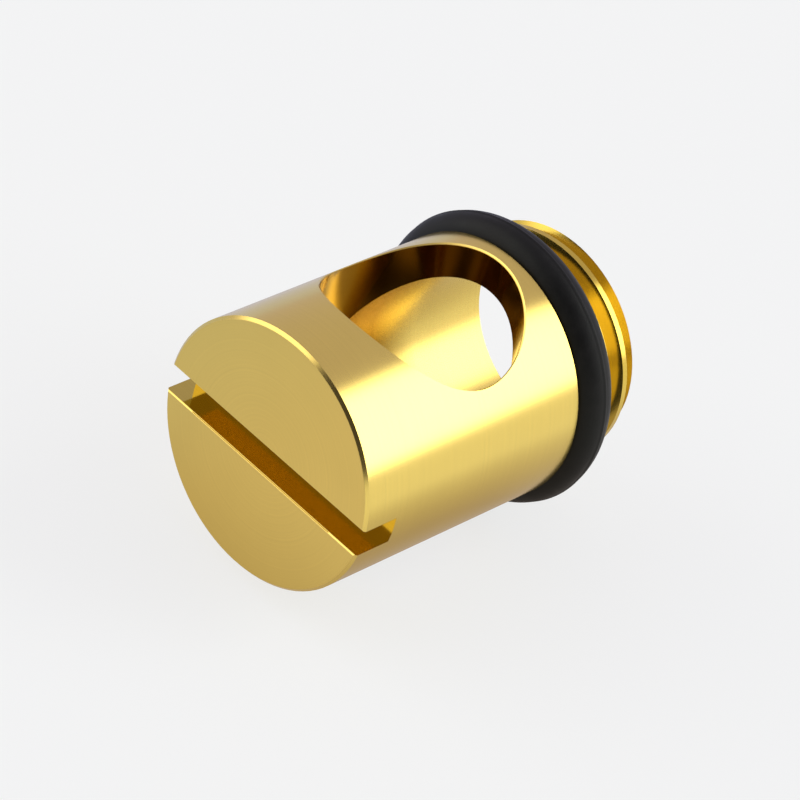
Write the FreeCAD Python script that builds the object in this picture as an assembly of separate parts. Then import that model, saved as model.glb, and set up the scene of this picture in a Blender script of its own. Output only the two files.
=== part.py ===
import FreeCAD, Part
import math
import os

# Hollow screw-in flow plug for a liquid-cooling port.  A one-piece turned body
# carries a screwdriver slot in its closed front face, a large round bore right
# through its side and a bore up its axis that opens at the threaded end.  A
# rubber ring sits on the neck behind the body's shoulder.
#
# Frame: the axis is Y, with the slotted face towards -Y and the thread towards
# +Y.  The cross bore opens along Z and the slot runs along X.  The origin is on
# the axis, in the plane of the sealing shoulder.  Lengths are in millimetres.

# --- Driving dimensions ---

BODY_DIAMETER = 14.5
BODY_LENGTH = 15.5
FACE_CHAMFER = 0.16
SHOULDER_EDGE_BREAK = 0.1

SLOT_WIDTH = 1.6
SLOT_DEPTH = 2.3
SLOT_DROP = 0.25
SLOT_EDGE_BREAK = 0.07

CROSS_BORE_DIAMETER = 10.6
CROSS_BORE_TO_SHOULDER = 6.25
CROSS_BORE_EDGE_BREAK = 0.1

AXIAL_BORE_DIAMETER = 10.5
AXIAL_BORE_FLOOR_TO_FACE = 3.6
AXIAL_BORE_FLOOR_RADIUS = 0.4
AXIAL_BORE_MOUTH_CHAMFER = 0.12

# Pipe thread G 1/4: 55 degree Whitworth form, cut on a bar turned just under
# the nominal size, so its crests are flat on top.
THREAD_DIAMETER = 13.157
CREST_DIAMETER = 12.96
THREAD_PITCH = 1.337
THREAD_HALF_ANGLE = math.radians(27.5)
THREAD_DEPTH = 0.640327 * THREAD_PITCH
THREAD_ROUNDING = 0.137329 * THREAD_PITCH
THREAD_START = 2.5
THREAD_END = 5.9
LEAD_IN_LENGTH = 0.5
END_CHAMFER = 0.87

# One crest of the helix passes this point: degrees from +Z towards +X, and
# distance behind the shoulder.
CREST_ANGLE = 37.0
CREST_POSITION = 4.28

RING_SECTION = 2.28
RING_SEAT_GAP = 0.01
RING_SHOULDER_GAP = 0.02

# --- Values worked out from them ---

BODY_RADIUS = BODY_DIAMETER / 2
FACE_Y = -BODY_LENGTH
THREAD_RADIUS = THREAD_DIAMETER / 2
CREST_RADIUS = CREST_DIAMETER / 2
END_RADIUS = CREST_RADIUS - END_CHAMFER
NECK_RADIUS = THREAD_RADIUS - THREAD_DEPTH
OVERRUN = 1.0

ORIGIN = FreeCAD.Vector(0, 0, 0)
X_AXIS = FreeCAD.Vector(1, 0, 0)
Y_AXIS = FreeCAD.Vector(0, 1, 0)
Z_AXIS = FreeCAD.Vector(0, 0, 1)


def turned(outline):
    """Solid turned about the Y axis from (y, radius) points."""
    points = [FreeCAD.Vector(0, y, radius) for y, radius in outline]
    face = Part.Face(Part.makePolygon(points + points[:1]))
    return face.revolve(ORIGIN, Y_AXIS, 360)


def cylinder_on_y(radius, y_low, y_high):
    """Round bar along Y between two stations."""
    return Part.makeCylinder(radius, y_high - y_low, FreeCAD.Vector(0, y_low, 0), Y_AXIS)


def plug_blank():
    """The bar as it leaves the lathe: body, shoulder, and neck at the thread's root size."""
    neck_end_start = THREAD_END - (NECK_RADIUS - END_RADIUS)
    return turned([
        (FACE_Y, 0),
        (FACE_Y, BODY_RADIUS - FACE_CHAMFER),
        (FACE_Y + FACE_CHAMFER, BODY_RADIUS),
        (-SHOULDER_EDGE_BREAK, BODY_RADIUS),
        (0, BODY_RADIUS - SHOULDER_EDGE_BREAK),
        (0, NECK_RADIUS),
        (neck_end_start, NECK_RADIUS),
        (THREAD_END, END_RADIUS),
        (THREAD_END, 0),
    ])


def ridge_section():
    """Whitworth ridge in the XZ plane at the helix's start, with its foot sunk in the neck."""
    root_overlap = 0.15
    base_radius = NECK_RADIUS - root_overlap
    shoulder_axial = THREAD_ROUNDING * math.cos(THREAD_HALF_ANGLE)
    shoulder_radius = THREAD_RADIUS - THREAD_ROUNDING * (1 - math.sin(THREAD_HALF_ANGLE))
    base_axial = shoulder_axial + (shoulder_radius - base_radius) * math.tan(THREAD_HALF_ANGLE)
    foot = FreeCAD.Vector(base_radius, 0, -base_axial)
    low = FreeCAD.Vector(shoulder_radius, 0, -shoulder_axial)
    crest = FreeCAD.Vector(THREAD_RADIUS, 0, 0)
    high = FreeCAD.Vector(shoulder_radius, 0, shoulder_axial)
    heel = FreeCAD.Vector(base_radius, 0, base_axial)
    return Part.Wire([
        Part.makeLine(foot, low),
        Part.Arc(low, crest, high).toShape(),
        Part.makeLine(high, heel),
        Part.makeLine(heel, foot),
    ])


def thread_ridge():
    """Helical ridge, laid on the Y axis and turned to its place on the neck."""
    turns = math.ceil((THREAD_END - THREAD_START) / THREAD_PITCH) + 2
    helix = Part.makeHelix(THREAD_PITCH, turns * THREAD_PITCH, NECK_RADIUS)
    ridge = Part.Wire(helix.Edges).makePipeShell([ridge_section()], True, True)
    # A third of a turn back about (1, 1, 1) takes Z to Y, X to Z and Y to X.
    ridge.rotate(ORIGIN, FreeCAD.Vector(1, 1, 1), 240)
    turns_before_crest = math.ceil((CREST_POSITION - THREAD_START) / THREAD_PITCH) + 1
    ridge.translate(FreeCAD.Vector(0, CREST_POSITION - turns_before_crest * THREAD_PITCH, 0))
    ridge.rotate(ORIGIN, Y_AXIS, CREST_ANGLE)
    return ridge


def thread_envelope():
    """Outer limit of the ridge: a lead-in at the neck, the crest, and a chamfer at the end."""
    lead_in_rate = LEAD_IN_LENGTH / (CREST_RADIUS - NECK_RADIUS)
    root_overlap = 0.1
    return turned([
        (THREAD_START - root_overlap * lead_in_rate, 0),
        (THREAD_START - root_overlap * lead_in_rate, NECK_RADIUS - root_overlap),
        (THREAD_START + LEAD_IN_LENGTH, CREST_RADIUS),
        (THREAD_END - END_CHAMFER, CREST_RADIUS),
        (THREAD_END, END_RADIUS),
        (THREAD_END, 0),
    ])


def slot_cutter():
    """Screwdriver slot across the closed face, with its long edges broken."""
    reach = BODY_RADIUS + OVERRUN
    half = SLOT_WIDTH / 2
    wide = half + SLOT_EDGE_BREAK + OVERRUN
    outline = [
        (FACE_Y - OVERRUN, -wide),
        (FACE_Y + SLOT_EDGE_BREAK, -half),
        (FACE_Y + SLOT_DEPTH, -half),
        (FACE_Y + SLOT_DEPTH, half),
        (FACE_Y + SLOT_EDGE_BREAK, half),
        (FACE_Y - OVERRUN, wide),
    ]
    points = [FreeCAD.Vector(-reach, y, z - SLOT_DROP) for y, z in outline]
    face = Part.Face(Part.makePolygon(points + points[:1]))
    return face.extrude(X_AXIS * (2 * reach))


def axial_bore_cutter():
    """Blind bore up the axis: a rounded floor behind the face and a broken edge at the mouth."""
    radius = AXIAL_BORE_DIAMETER / 2
    floor_y = FACE_Y + AXIAL_BORE_FLOOR_TO_FACE
    bore = cylinder_on_y(radius, floor_y, THREAD_END + OVERRUN)
    floor_edges = [edge for edge in bore.Edges if edge.BoundBox.YMax < floor_y + 0.01]
    bore = bore.makeFillet(AXIAL_BORE_FLOOR_RADIUS, floor_edges)
    mouth = Part.makeCone(
        radius,
        radius + AXIAL_BORE_MOUTH_CHAMFER + OVERRUN,
        AXIAL_BORE_MOUTH_CHAMFER + OVERRUN,
        FreeCAD.Vector(0, THREAD_END - AXIAL_BORE_MOUTH_CHAMFER, 0),
        Y_AXIS,
    )
    return bore.fuse(mouth)


def cross_bore_cutter():
    """Round bore right through the side, along Z."""
    reach = BODY_RADIUS + OVERRUN
    start = FreeCAD.Vector(0, -CROSS_BORE_TO_SHOULDER, -reach)
    return Part.makeCylinder(CROSS_BORE_DIAMETER / 2, 2 * reach, start, Z_AXIS)


def cross_bore_rims(body):
    """The two saddle-shaped edges where the cross bore meets the outside of the body."""
    rims = []
    for edge in body.Edges:
        middle = edge.valueAt((edge.FirstParameter + edge.LastParameter) / 2)
        from_axis = math.hypot(middle.x, middle.z)
        from_bore = math.hypot(middle.x, middle.y + CROSS_BORE_TO_SHOULDER)
        on_skin = abs(from_axis - BODY_RADIUS) < 0.01
        on_bore = abs(from_bore - CROSS_BORE_DIAMETER / 2) < 0.01
        if on_skin and on_bore:
            rims.append(edge)
    return rims


def plug_body():
    """The gold-plated brass body, one solid."""
    body = plug_blank().cut(cross_bore_cutter())
    body = body.makeChamfer(CROSS_BORE_EDGE_BREAK, cross_bore_rims(body))
    body = body.cut(slot_cutter())
    ridge = thread_ridge().common(thread_envelope())
    body = body.fuse(ridge)
    return body.cut(axial_bore_cutter())


def o_ring():
    """Rubber sealing ring, seated on the neck and against the shoulder."""
    section_radius = RING_SECTION / 2
    centre_radius = NECK_RADIUS + RING_SEAT_GAP + section_radius
    centre = FreeCAD.Vector(0, RING_SHOULDER_GAP + section_radius, 0)
    return Part.makeTorus(centre_radius, section_radius, centre, Y_AXIS)


def write_parts():
    """Write one STEP file per piece."""
    os.makedirs("parts", exist_ok=True)
    pieces = {"plug_body": plug_body(), "o_ring": o_ring()}
    for name, shape in pieces.items():
        solid = shape.Solids[0]
        box = solid.BoundBox
        print(f"{name}: {len(shape.Solids)} solid, valid {solid.isValid()}, volume {solid.Volume:.1f} mm3")
        print(f"  box {box.XLength:.2f} x {box.YLength:.2f} x {box.ZLength:.2f} mm")
        solid.exportStep(f"parts/{name}.step")


write_parts()
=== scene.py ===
import logging
import math
from dataclasses import dataclass, field
from enum import Enum

import bmesh
import bpy
from mathutils import Matrix, Vector


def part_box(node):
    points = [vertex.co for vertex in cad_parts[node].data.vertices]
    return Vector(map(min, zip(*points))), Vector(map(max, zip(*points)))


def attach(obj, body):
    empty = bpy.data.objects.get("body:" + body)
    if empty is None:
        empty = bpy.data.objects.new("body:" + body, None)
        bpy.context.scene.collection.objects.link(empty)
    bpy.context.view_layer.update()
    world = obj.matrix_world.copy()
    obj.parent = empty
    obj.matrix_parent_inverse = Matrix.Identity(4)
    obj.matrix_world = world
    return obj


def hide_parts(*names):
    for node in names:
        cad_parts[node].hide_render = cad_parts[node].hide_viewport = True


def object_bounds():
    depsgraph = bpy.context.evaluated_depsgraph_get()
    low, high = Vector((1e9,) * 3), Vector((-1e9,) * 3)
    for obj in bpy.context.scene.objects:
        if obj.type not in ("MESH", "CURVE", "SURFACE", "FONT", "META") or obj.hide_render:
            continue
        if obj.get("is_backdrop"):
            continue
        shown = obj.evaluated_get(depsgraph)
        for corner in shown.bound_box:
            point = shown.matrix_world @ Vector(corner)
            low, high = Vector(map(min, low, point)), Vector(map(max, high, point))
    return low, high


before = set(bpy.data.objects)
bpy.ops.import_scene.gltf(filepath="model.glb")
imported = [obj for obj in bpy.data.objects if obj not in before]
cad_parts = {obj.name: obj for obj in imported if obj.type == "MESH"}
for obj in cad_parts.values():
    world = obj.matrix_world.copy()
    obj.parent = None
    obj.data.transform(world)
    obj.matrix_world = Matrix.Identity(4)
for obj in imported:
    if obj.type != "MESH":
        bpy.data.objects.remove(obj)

# A hollow screw-in plug lies on its ring.  Its axis is Y, with the slotted face
# towards -Y and the threaded end towards +Y.  The cross bore opens along Z and
# the slot runs along X.  The origin is on the axis, at the body's shoulder.

logging.basicConfig(level=logging.INFO, format="%(message)s")
log = logging.getLogger("flow_plug")

MM = 0.001
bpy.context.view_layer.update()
BODY_LOW, BODY_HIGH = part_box("plug_body")
RING_LOW, RING_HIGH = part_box("o_ring")

Colour = tuple[float, float, float, float]
Point = tuple[float, float, float]
Socket = bpy.types.NodeSocket
Tree = bpy.types.NodeTree


class Light(Enum):
    """Tint of each light in the studio, linear red, green and blue."""

    WHITE = (1.0, 1.0, 1.0)
    WARM = (1.0, 0.96, 0.90)
    ROSE = (1.0, 0.90, 1.12)


# --- Helpers for node trees ---

def linear(hex_code: str) -> Colour:
    """Turn an sRGB hex value into linear colour.

    Args:
        hex_code: colour as "#RRGGBB".

    Returns:
        Linear red, green, blue and an alpha of one.
    """
    channels = [int(hex_code[i:i + 2], 16) / 255 for i in (1, 3, 5)]
    red, green, blue = [
        c / 12.92 if c <= 0.04045 else ((c + 0.055) / 1.055) ** 2.4 for c in channels
    ]
    return red, green, blue, 1.0


def add_node(tree: Tree, kind: str, links: dict | None = None,
             values: dict | None = None, **settings) -> bpy.types.Node:
    """Add one node with its settings, socket values and incoming links.

    Args:
        tree: node tree that takes the node.
        kind: Blender's node type name, without its "ShaderNode" start.
        links: input socket name or number, to the output socket that feeds it.
        values: input socket name or number, to the constant it holds.
        **settings: attributes of the node itself.

    Returns:
        The new node.
    """
    node = tree.nodes.new("ShaderNode" + kind)
    for name, value in settings.items():
        setattr(node, name, value)
    for socket, value in (values or {}).items():
        node.inputs[socket].default_value = value
    for socket, source in (links or {}).items():
        tree.links.new(source, node.inputs[socket])
    return node


def blank_material(name: str) -> tuple[bpy.types.Material, Tree, bpy.types.Node]:
    """Start a node material.

    Args:
        name: name of the finish.

    Returns:
        The material, its node tree and its Principled shader.
    """
    made = bpy.data.materials.new(name)
    made.use_nodes = True
    return made, made.node_tree, made.node_tree.nodes["Principled BSDF"]


# --- The turned body ---

@dataclass(frozen=True)
class Cut:
    """What one tool left behind: plate colour, darkened as painted shade in the recesses,
    roughness and strength of its marks.
    """

    plate_and_shade_hex: str
    roughness: float
    marks: float


@dataclass(frozen=True)
class Surfaces:
    """Where a point of the body lies, and a mask for the work of each tool."""

    place: Socket
    along: Socket       # distance along the plug's axis
    height: Socket      # distance along the cross bore
    radius: Socket      # distance from the plug's axis
    chamber: Socket
    thread: Socket
    bore: Socket
    face: Socket
    slot: Socket


@dataclass(frozen=True)
class GoldPlatedBrass:
    """Turned brass with a thin gold plate.

    The plate copies the tool's finish under it. A fine feed line runs round the
    barrel and the face, which smears each light into a soft band, warm yellow
    where the plate reflects once and amber to brown where it reflects itself.
    """

    name: str = "gold_plated_turned_brass"
    barrel: Cut = Cut("#E8CE6D", 0.20, 0.22)
    face: Cut = Cut("#E6CC6B", 0.30, 0.6)
    chamber: Cut = Cut("#E8CE6D", 0.28, 0.05)
    # The cross bore's and the slot's plate colours are darker than the barrel's as painted shade
    # in these recesses.
    bore: Cut = Cut("#B4923F", 0.12, 0.15)
    slot: Cut = Cut("#CBB459", 0.07, 0.0)
    thread: Cut = Cut("#DBBE52", 0.18, 0.15)

    # Painted shade: deep in the chamber, towards its blind end, the plate colour turns darker and
    # browner.
    chamber_shade_hex: str = "#9A772A"
    shade_full_at_mm: float = -2.6
    unshaded_at_mm: float = 0.7

    feed_mm: float = 0.13           # coarser than a real feed of 0.05 mm, so that it shows
    feed_depth_mm: float = 0.0016
    face_pace: float = 0.77         # keeps lines on the face out of step with the barrel's
    grain_mm: float = 0.07
    grain_share: float = 0.35
    grain_patchiness: float = 0.12
    cloud_mm: float = 4.5
    cloud_share: float = 0.5
    groove_shade: float = 0.05
    tone_low: float = 0.35
    tone_high: float = 0.65

    def feed_lines(self, tree: Tree, at: Surfaces) -> Socket:
        """Draw the tool's feed as lines round whatever it was cutting.

        Args:
            tree: the material's node tree.
            at: where the point lies.

        Returns:
            Socket with a value from 0 to 1 that changes from line to line.
        """
        turned = add_node(tree, "Math", {0: at.along, 2: at.radius}, {1: self.face_pace},
                          operation="MULTIPLY_ADD")
        milled = add_node(tree, "Math", {0: at.along, 1: at.height}, operation="ADD")
        step = turned.outputs[0]
        for mask, other in ((at.bore, at.height), (at.slot, milled.outputs[0])):
            step = add_node(tree, "Mix", {0: mask, 2: step, 3: other}).outputs[0]
        lines = add_node(tree, "TexNoise", {"W": step},
                         {"Scale": 1 / (self.feed_mm * MM), "Detail": 2.0, "Roughness": 0.6},
                         noise_dimensions="1D")
        return lines.outputs["Fac"]

    def cuts(self, tree: Tree, at: Surfaces) -> tuple[Socket, Socket, Socket]:
        """Pick what the tool that made this surface left on it, with painted shade in the chamber,
        the cross bore and the slot.

        Args:
            tree: the material's node tree.
            at: where the point lies.

        Returns:
            Sockets with the plate's colour, which holds the painted shade, its roughness and the
            strength of the marks.
        """
        # Painted shade: the chamber's colour darkens towards its blind end.
        reach = add_node(tree, "MapRange", {"Value": at.along},
                         {"From Min": self.shade_full_at_mm * MM, "From Max": self.unshaded_at_mm * MM})
        shaded_chamber = add_node(tree, "Mix", {0: reach.outputs[0]},
                        {6: linear(self.chamber_shade_hex), 7: linear(self.chamber.plate_and_shade_hex)},
                        data_type="RGBA")
        plate = add_node(tree, "Mix", {0: at.chamber, 7: shaded_chamber.outputs[2]},
                         {6: linear(self.barrel.plate_and_shade_hex)}, data_type="RGBA").outputs[2]
        roughness = add_node(tree, "Mix", {0: at.chamber},
                             {2: self.barrel.roughness, 3: self.chamber.roughness}).outputs[0]
        marks = add_node(tree, "Mix", {0: at.chamber},
                         {2: self.barrel.marks, 3: self.chamber.marks}).outputs[0]
        for mask, cut in ((at.thread, self.thread), (at.bore, self.bore),
                          (at.face, self.face), (at.slot, self.slot)):
            plate = add_node(tree, "Mix", {0: mask, 6: plate}, {7: linear(cut.plate_and_shade_hex)},
                             data_type="RGBA").outputs[2]
            roughness = add_node(tree, "Mix", {0: mask, 2: roughness},
                                 {3: cut.roughness}).outputs[0]
            marks = add_node(tree, "Mix", {0: mask, 2: marks}, {3: cut.marks}).outputs[0]
        return plate, roughness, marks

    def material(self, body: "PlugBody") -> bpy.types.Material:
        """Build the node material.

        Args:
            body: the body, whose sizes say where each tool cut.

        Returns:
            The material.
        """
        made, tree, shader = blank_material(self.name)
        at = body.surfaces(tree)
        plate, roughness, marks = self.cuts(tree, at)
        feed = self.feed_lines(tree, at)
        grain = add_node(tree, "TexNoise", {"Vector": at.place},
                         {"Scale": 1 / (self.grain_mm * MM), "Detail": 2.0}).outputs["Fac"]
        cloud = add_node(tree, "TexNoise", {"Vector": at.place},
                         {"Scale": 1 / (self.cloud_mm * MM), "Detail": 3.0}).outputs["Fac"]

        height = add_node(tree, "Mix", {2: feed, 3: grain}, {0: self.grain_share})
        bump = add_node(tree, "Bump", {"Height": height.outputs[0], "Strength": marks},
                        {"Distance": self.feed_depth_mm * MM})
        patchy = add_node(tree, "MapRange", {"Value": grain},
                          {"To Min": 1 - self.grain_patchiness,
                           "To Max": 1 + self.grain_patchiness})
        rough = add_node(tree, "Math", {0: roughness, 1: patchy.outputs[0]}, operation="MULTIPLY")
        tone = add_node(tree, "Mix", {2: feed, 3: cloud}, {0: self.cloud_share})
        shade = add_node(tree, "MapRange", {"Value": tone.outputs[0]},
                         {"From Min": self.tone_low, "From Max": self.tone_high,
                          "To Min": 1.0, "To Max": 1.0 - self.groove_shade})
        colour = add_node(tree, "VectorMath", {0: plate, "Scale": shade.outputs[0]},
                          operation="SCALE")

        shader.inputs["Metallic"].default_value = 1.0
        tree.links.new(colour.outputs[0], shader.inputs["Base Color"])
        tree.links.new(rough.outputs[0], shader.inputs["Roughness"])
        tree.links.new(bump.outputs[0], shader.inputs["Normal"])
        return made


@dataclass
class PlugBody:
    """The turned body, whose shape comes from model.glb."""

    bore_radius: float = 5.3 * MM
    bore_y: float = -6.25 * MM
    chamber_radius: float = 5.25 * MM
    slot_width: float = 1.6 * MM
    slot_depth: float = 2.3 * MM
    slot_drop: float = 0.25 * MM
    behind_ring: float = 1.9 * MM   # the ring hides where the thread's finish starts
    skin: float = 0.02 * MM         # how far a mask reaches past the surface it marks
    finish: GoldPlatedBrass = field(default_factory=GoldPlatedBrass)

    def surfaces(self, tree: Tree) -> Surfaces:
        """Tell the body's surfaces apart by their place.

        Args:
            tree: the material's node tree.

        Returns:
            The point's coordinates and a mask for each kind of surface.
        """
        place = add_node(tree, "TexCoord").outputs["Object"]
        _, along, height = add_node(tree, "SeparateXYZ", {0: place}).outputs
        from_axis = add_node(tree, "VectorMath", {0: place}, {1: (1, 0, 1)}, operation="MULTIPLY")
        radius = add_node(tree, "VectorMath", {0: from_axis.outputs[0]},
                          operation="LENGTH").outputs["Value"]
        shifted = add_node(tree, "VectorMath", {0: place}, {1: (0, -self.bore_y, 0)},
                           operation="ADD")
        level = add_node(tree, "VectorMath", {0: shifted.outputs[0]}, {1: (1, 1, 0)},
                         operation="MULTIPLY")
        from_bore = add_node(tree, "VectorMath", {0: level.outputs[0]},
                             operation="LENGTH").outputs["Value"]

        outer = add_node(tree, "Math", {0: radius}, {1: self.chamber_radius + self.skin},
                         operation="GREATER_THAN").outputs[0]
        chamber = add_node(tree, "Math", {0: outer}, {1: 0.5}, operation="LESS_THAN")
        near_bore = add_node(tree, "Math", {0: from_bore}, {1: self.bore_radius + self.skin},
                             operation="LESS_THAN")
        bore = add_node(tree, "Math", {0: outer, 1: near_bore.outputs[0]}, operation="MULTIPLY")
        rear = add_node(tree, "Math", {0: along}, {1: self.behind_ring}, operation="GREATER_THAN")
        thread = add_node(tree, "Math", {0: rear.outputs[0], 1: outer}, operation="MULTIPLY")
        face = add_node(tree, "Math", {0: along}, {1: BODY_LOW.y + self.skin},
                        operation="LESS_THAN")

        above = add_node(tree, "Math", {0: height}, {1: self.slot_drop}, operation="ADD")
        beside = add_node(tree, "Math", {0: above.outputs[0]}, operation="ABSOLUTE")
        between = add_node(tree, "Math", {0: beside.outputs[0]},
                           {1: self.slot_width / 2 + self.skin}, operation="LESS_THAN")
        shallow = add_node(tree, "Math", {0: along}, {1: BODY_LOW.y + self.slot_depth + self.skin},
                           operation="LESS_THAN")
        slot = add_node(tree, "Math", {0: between.outputs[0], 1: shallow.outputs[0]},
                        operation="MULTIPLY")
        return Surfaces(place, along, height, radius, chamber.outputs[0], thread.outputs[0],
                        bore.outputs[0], face.outputs[0], slot.outputs[0])

    def dress(self) -> bpy.types.Object:
        """Give the body its plated finish.

        Returns:
            The body.
        """
        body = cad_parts["plug_body"]
        body.data.materials.clear()
        body.data.materials.append(self.finish.material(self))
        return body


# --- The rubber ring ---

@dataclass(frozen=True)
class NitrileRubber:
    """Compression-moulded nitrile rubber.

    Carbon black makes it near black. The mould leaves a dull skin with a fine
    tooth, so lights turn into a broad grey sheen with faint handling smears.
    """

    name: str = "moulded_nitrile_rubber"
    rubber_hex: str = "#0C0C0C"
    smear_hex: str = "#1E1E1D"
    smear_mm: float = 1.6
    ior: float = 1.46
    gloss: float = 0.30
    gloss_tint: Colour = (0.94, 1.0, 0.86, 1.0)
    roughness_low: float = 0.42
    roughness_high: float = 0.62
    tooth_mm: float = 0.09
    tooth_depth_mm: float = 0.006

    def material(self) -> bpy.types.Material:
        """Build the node material.

        Returns:
            The material.
        """
        made, tree, shader = blank_material(self.name)
        place = add_node(tree, "TexCoord").outputs["Object"]
        tooth = add_node(tree, "TexNoise", {"Vector": place},
                         {"Scale": 1 / (self.tooth_mm * MM), "Detail": 3.0}).outputs["Fac"]
        smear = add_node(tree, "TexNoise", {"Vector": place},
                         {"Scale": 1 / (self.smear_mm * MM), "Detail": 4.0,
                          "Roughness": 0.6}).outputs["Fac"]
        amount = add_node(tree, "MapRange", {"Value": smear},
                          {"From Min": 0.45, "From Max": 0.75})
        colour = add_node(tree, "Mix", {0: amount.outputs[0]},
                          {6: linear(self.rubber_hex), 7: linear(self.smear_hex)},
                          data_type="RGBA")
        rough = add_node(tree, "MapRange", {"Value": smear},
                         {"From Min": 0.3, "From Max": 0.7,
                          "To Min": self.roughness_low, "To Max": self.roughness_high})
        bump = add_node(tree, "Bump", {"Height": tooth},
                        {"Strength": 1.0, "Distance": self.tooth_depth_mm * MM})
        shader.inputs["IOR"].default_value = self.ior
        shader.inputs["Specular IOR Level"].default_value = self.gloss
        shader.inputs["Specular Tint"].default_value = self.gloss_tint
        tree.links.new(colour.outputs[2], shader.inputs["Base Color"])
        tree.links.new(rough.outputs[0], shader.inputs["Roughness"])
        tree.links.new(bump.outputs[0], shader.inputs["Normal"])
        return made


@dataclass
class SealingRing:
    """The rubber ring that lies on the neck, against the shoulder."""

    section: float = RING_HIGH.y - RING_LOW.y
    flash_height: float = 0.035 * MM
    flash_width: float = 0.12 * MM
    profile_points: int = 40
    steps: int = 144
    merge_distance: float = 0.001 * MM
    finish: NitrileRubber = field(default_factory=NitrileRubber)

    def raise_flash(self, bm: bmesh.types.BMesh, side: int) -> None:
        """Raise the moulding flash where the two halves of the mould met.

        Args:
            bm: the ring's round section, centred on the origin.
            side: 1 for the outside of the ring and -1 for the inside.
        """
        tip = max(bm.verts, key=lambda vert: vert.co.x * side)
        for edge in list(tip.link_edges):
            bmesh.ops.subdivide_edges(bm, edges=[edge], cuts=1)
        tip = max(bm.verts, key=lambda vert: vert.co.x * side)
        for edge in tip.link_edges:
            foot = edge.other_vert(tip)
            foot.co = tip.co + (foot.co - tip.co).normalized() * self.flash_width / 2
        bmesh.ops.translate(bm, verts=[tip], vec=Vector((side * self.flash_height, 0, 0)))

    def mesh(self) -> bpy.types.Mesh:
        """Spin the section round the Y axis.

        Returns:
            The ring's mesh, with a moulding flash line inside and outside.
        """
        radius = self.section / 2
        centre = Vector((RING_HIGH.x - radius, (RING_LOW.y + RING_HIGH.y) / 2, 0))
        bm = bmesh.new()
        bmesh.ops.create_circle(bm, segments=self.profile_points, radius=radius)
        for side in (-1, 1):
            self.raise_flash(bm, side)
        bmesh.ops.translate(bm, verts=bm.verts[:], vec=centre)
        bmesh.ops.spin(bm, geom=bm.verts[:] + bm.edges[:], cent=(0, 0, 0), axis=Vector((0, 1, 0)),
                       angle=math.tau, steps=self.steps, use_merge=True)
        bmesh.ops.remove_doubles(bm, verts=bm.verts[:], dist=self.merge_distance)
        bmesh.ops.recalc_face_normals(bm, faces=bm.faces[:])
        for face in bm.faces:
            face.smooth = True
        mesh = bpy.data.meshes.new("sealing_ring")
        bm.to_mesh(mesh)
        bm.free()
        return mesh

    def build(self) -> bpy.types.Object:
        """Make the ring, dress it and put it in the CAD ring's place.

        Returns:
            The ring.
        """
        ring = bpy.data.objects.new("sealing_ring", self.mesh())
        bpy.context.scene.collection.objects.link(ring)
        ring.data.materials.append(self.finish.material())
        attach(ring, "root")
        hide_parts("o_ring")
        return ring


# --- The studio ---

@dataclass(frozen=True)
class Panel:
    """A distant softbox, drawn on the studio's sky.

    Its half sizes and the width of its soft edge are tangents of angles, seen
    from the plug.
    """

    toward: Point
    across: Point
    half_width: float
    half_height: float
    soft: float
    radiance: float
    light: Light = Light.WHITE
    least_ahead: float = 0.05       # keeps the tangents finite off to the side and behind

    def draw(self, tree: Tree, gaze: Socket) -> Socket:
        """Draw the softbox.

        Args:
            tree: the world's node tree.
            gaze: direction looked in.

        Returns:
            Socket with the softbox's colour in that direction.
        """
        toward = Vector(self.toward).normalized()
        across = Vector(self.across)
        across = (across - toward * across.dot(toward)).normalized()
        depth = add_node(tree, "VectorMath", {0: gaze}, {1: toward}, operation="DOT_PRODUCT")
        ahead = add_node(tree, "Math", {0: depth.outputs["Value"]}, {1: self.least_ahead},
                         operation="MAXIMUM")
        fades = []
        for axis, half in ((across, self.half_width), (toward.cross(across), self.half_height)):
            offset = add_node(tree, "VectorMath", {0: gaze}, {1: axis}, operation="DOT_PRODUCT")
            slope = add_node(tree, "Math", {0: offset.outputs["Value"], 1: ahead.outputs[0]},
                             operation="DIVIDE")
            size = add_node(tree, "Math", {0: slope.outputs[0]}, operation="ABSOLUTE")
            fade = add_node(tree, "MapRange", {"Value": size.outputs[0]},
                            {"From Min": half + self.soft, "From Max": half - self.soft},
                            interpolation_type="SMOOTHSTEP")
            fades.append(fade.outputs[0])
        shape = add_node(tree, "Math", {0: fades[0], 1: fades[1]}, operation="MULTIPLY")
        tint = Vector(self.light.value) * self.radiance
        lit = add_node(tree, "VectorMath", {"Scale": shape.outputs[0]}, {0: tint},
                       operation="SCALE")
        return lit.outputs[0]


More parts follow.
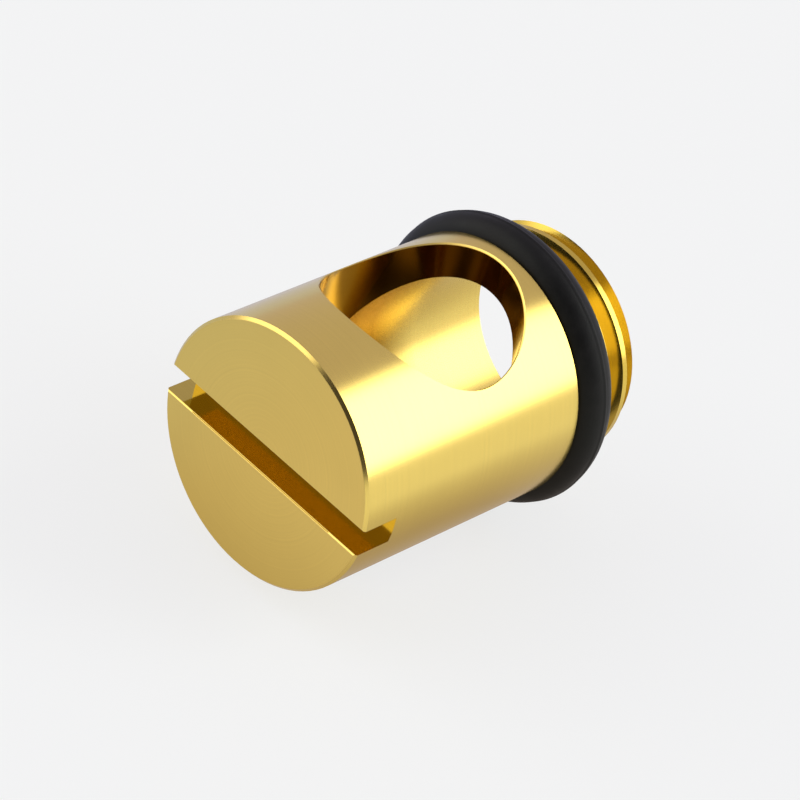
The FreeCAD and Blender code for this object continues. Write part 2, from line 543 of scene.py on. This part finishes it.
@dataclass
class Sky:
    """Even studio light with softboxes, and a dark room behind the camera."""

    base: float = 0.60
    base_light: Light = Light.ROSE
    dark_toward: Point = (0.50, -0.68, 0.53)
    dark_level: float = 0.07
    dark_edge: float = 0.62         # cosines of the angles where the dark starts and is full
    dark_core: float = 0.88
    backdrop: Colour = (0.93, 0.93, 0.93, 1.0)
    panels: tuple[Panel, ...] = (
        Panel((0.597, 0.64, 0.484), (0.630, 0, -0.777), 0.47, 0.20, 0.12, 3.6),
        Panel((-0.69, -0.57, 0.45), (0.637, -0.771, 0), 0.46, 0.44, 0.12, 1.4, Light.WARM),
    )

    def build(self) -> bpy.types.World:
        """Build the world.

        Returns:
            The world, with a plain pale backdrop wherever the camera sees it.
        """
        world = bpy.data.worlds.new("studio_sky")
        bpy.context.scene.world = world
        world.use_nodes = True
        tree = world.node_tree
        gaze = add_node(tree, "TexCoord").outputs["Generated"]
        facing = add_node(tree, "VectorMath", {0: gaze},
                          {1: Vector(self.dark_toward).normalized()}, operation="DOT_PRODUCT")
        level = add_node(tree, "MapRange", {"Value": facing.outputs["Value"]},
                         {"From Min": self.dark_edge, "From Max": self.dark_core,
                          "To Min": self.base, "To Max": self.dark_level},
                         interpolation_type="SMOOTHSTEP")
        total = add_node(tree, "VectorMath", {"Scale": level.outputs[0]},
                         {0: self.base_light.value}, operation="SCALE").outputs[0]
        for panel in self.panels:
            total = add_node(tree, "VectorMath", {0: total, 1: panel.draw(tree, gaze)},
                             operation="ADD").outputs[0]
        seen = add_node(tree, "LightPath").outputs["Is Camera Ray"]
        colour = add_node(tree, "Mix", {0: seen, 6: total}, {7: self.backdrop}, data_type="RGBA")
        tree.links.new(colour.outputs[2], tree.nodes["Background"].inputs["Color"])
        return world


@dataclass
class Floor:
    """Pale floor under the ring's lowest point.

    The camera sees a plain pale card. Reflections see the same card glowing with
    painted light and shade, as in a light tent: painted shade close behind the plug
    and beside it, paler in front, white further out, and a painted shadow right under the plug.
    """

    half: float = 2.0
    card_light: float = 0.74
    card_hex: str = "#7C817C"

    # Painted glow for reflections: painted shade near the plug, painted light in front and far
    # out, and a bluer painted tone to the left.
    near: Colour = (0.49, 0.41, 0.36, 1.0)
    front: Colour = (0.80, 0.73, 0.78, 1.0)
    front_from: float = BODY_LOW.y + 4 * MM
    front_full: float = BODY_LOW.y - 8 * MM
    far: Colour = (1.02, 0.99, 1.0, 1.0)
    far_from: float = 9 * MM
    far_full: float = 31 * MM
    left: Colour = (0.62, 0.63, 0.80, 1.0)
    left_from: float = -6 * MM
    left_full: float = -20 * MM
    # Painted shadow: the glow turns near black right under the plug.
    under: Colour = (0.03, 0.02, 0.01, 1.0)
    shadow_half_width: float = 1.5 * MM
    shadow_half_length: float = 6.0 * MM
    shadow_fade: float = 2.6 * MM

    def painted_shadow_strip(self, tree: Tree, from_middle: Socket) -> Socket:
        """Mask the painted shadow's strip right under the plug.

        Args:
            tree: the material's node tree.
            from_middle: level offset from the middle of the plug.

        Returns:
            Socket with 1 under the plug, fading to 0 around it.
        """
        folded = add_node(tree, "VectorMath", {0: from_middle}, operation="ABSOLUTE")
        past = add_node(tree, "VectorMath", {0: folded.outputs[0]},
                        {1: (self.shadow_half_width, self.shadow_half_length, 0)},
                        operation="SUBTRACT")
        clipped = add_node(tree, "VectorMath", {0: past.outputs[0]}, {1: (0, 0, 0)},
                           operation="MAXIMUM")
        gap = add_node(tree, "VectorMath", {0: clipped.outputs[0]}, operation="LENGTH")
        mask = add_node(tree, "MapRange", {"Value": gap.outputs["Value"]},
                        {"From Min": 0.0, "From Max": self.shadow_fade,
                         "To Min": 1.0, "To Max": 0.0}, interpolation_type="SMOOTHSTEP")
        return mask.outputs[0]

    def tent(self, tree: Tree) -> Socket:
        """Paint light and shade into the card's glow, as reflections see it.

        Args:
            tree: the material's node tree.

        Returns:
            Socket with the card's glow, which holds its painted light and shade.
        """
        place = add_node(tree, "TexCoord").outputs["Object"]
        sideways, along, _ = add_node(tree, "SeparateXYZ", {0: place}).outputs
        middle = Vector((0, (BODY_LOW.y + BODY_HIGH.y) / 2, 0))
        away = add_node(tree, "VectorMath", {0: place}, {1: -middle}, operation="ADD")
        from_middle = add_node(tree, "VectorMath", {0: away.outputs[0]}, {1: (1, 1, 0)},
                               operation="MULTIPLY").outputs[0]
        # Distance in front of the middle doesn't count towards the far light.
        counted = add_node(tree, "VectorMath", {0: from_middle}, {1: (-self.half, 0, 0)},
                           operation="MAXIMUM")
        reach = add_node(tree, "VectorMath", {0: counted.outputs[0]}, operation="LENGTH")
        out_far = add_node(tree, "MapRange", {"Value": reach.outputs["Value"]},
                           {"From Min": self.far_from, "From Max": self.far_full}).outputs[0]
        in_front = add_node(tree, "MapRange", {"Value": along},
                            {"From Min": self.front_from, "From Max": self.front_full}).outputs[0]
        to_left = add_node(tree, "MapRange", {"Value": sideways},
                           {"From Min": self.left_from, "From Max": self.left_full}).outputs[0]
        tone = add_node(tree, "Mix", {0: in_front}, {6: self.near, 7: self.front},
                        data_type="RGBA").outputs[2]
        for amount, colour in ((out_far, self.far), (to_left, self.left),
                               (self.painted_shadow_strip(tree, from_middle), self.under)):
            tone = add_node(tree, "Mix", {0: amount, 6: tone}, {7: colour},
                            data_type="RGBA").outputs[2]
        return add_node(tree, "Emission", {"Color": tone}, {"Strength": 1.0}).outputs[0]

    def material(self) -> bpy.types.Material:
        """Build the card's material.

        Returns:
            The material.
        """
        made, tree, shader = blank_material("pale_card")
        shader.inputs["Base Color"].default_value = linear(self.card_hex)
        shader.inputs["Roughness"].default_value = 1.0
        shader.inputs["Specular IOR Level"].default_value = 0.0
        shader.inputs["Emission Color"].default_value = (1, 1, 1, 1)
        shader.inputs["Emission Strength"].default_value = self.card_light
        seen = add_node(tree, "LightPath").outputs["Is Camera Ray"]
        mixed = add_node(tree, "MixShader", {0: seen, 1: self.tent(tree), 2: shader.outputs[0]})
        tree.links.new(mixed.outputs[0], tree.nodes["Material Output"].inputs["Surface"])
        return made

    def build(self) -> bpy.types.Object:
        """Lay the floor under the pieces that are already there.

        Returns:
            The floor.
        """
        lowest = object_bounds()[0][2]
        bm = bmesh.new()
        bmesh.ops.create_grid(bm, x_segments=1, y_segments=1, size=self.half)
        bmesh.ops.translate(bm, verts=bm.verts[:], vec=Vector((0, 0, lowest)))
        mesh = bpy.data.meshes.new("floor")
        bm.to_mesh(mesh)
        bm.free()
        floor = bpy.data.objects.new("floor", mesh)
        bpy.context.scene.collection.objects.link(floor)
        mesh.materials.append(self.material())
        floor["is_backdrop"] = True
        return floor


@dataclass
class Viewpoint:
    """Where the camera stands. Angles are in degrees."""

    azimuth: float = 35.1
    elevation: float = 37.35
    roll: float = 17.47
    distance: float = 202.07 * MM
    lens: float = 176.4
    sensor_width: float = 36
    aim: Point = (0, -5.67 * MM, -0.26 * MM)

    def build(self) -> bpy.types.Object:
        """Stand the camera, rolled about its line of sight.

        Returns:
            The camera.
        """
        azimuth, elevation = math.radians(self.azimuth), math.radians(self.elevation)
        back = Vector((math.sin(azimuth) * math.cos(elevation),
                       -math.cos(azimuth) * math.cos(elevation), math.sin(elevation)))
        data = bpy.data.cameras.new("camera")
        data.lens = self.lens
        data.sensor_width = self.sensor_width
        data.clip_start, data.clip_end = 0.01, 10
        camera = bpy.data.objects.new("camera", data)
        bpy.context.scene.collection.objects.link(camera)
        turn = back.to_track_quat("Z", "Y").to_matrix().to_4x4()
        camera.matrix_world = (Matrix.Translation(Vector(self.aim) + back * self.distance) @ turn
                               @ Matrix.Rotation(math.radians(self.roll), 4, "Z"))
        bpy.context.scene.camera = camera
        return camera


# --- Putting it together ---

def report(piece: bpy.types.Object) -> None:
    """Log a piece's name and how many faces it has."""
    log.info("%s: %d faces", piece.name, len(piece.data.polygons))


def main() -> None:
    """Build the camera, the plug's pieces and the studio, and report each piece."""
    Viewpoint().build()
    for piece in (PlugBody().dress(), SealingRing().build()):
        report(piece)
    Sky().build()
    Floor().build()
    bpy.context.scene.view_settings.view_transform = "Standard"


if __name__ == "__main__":
    main()
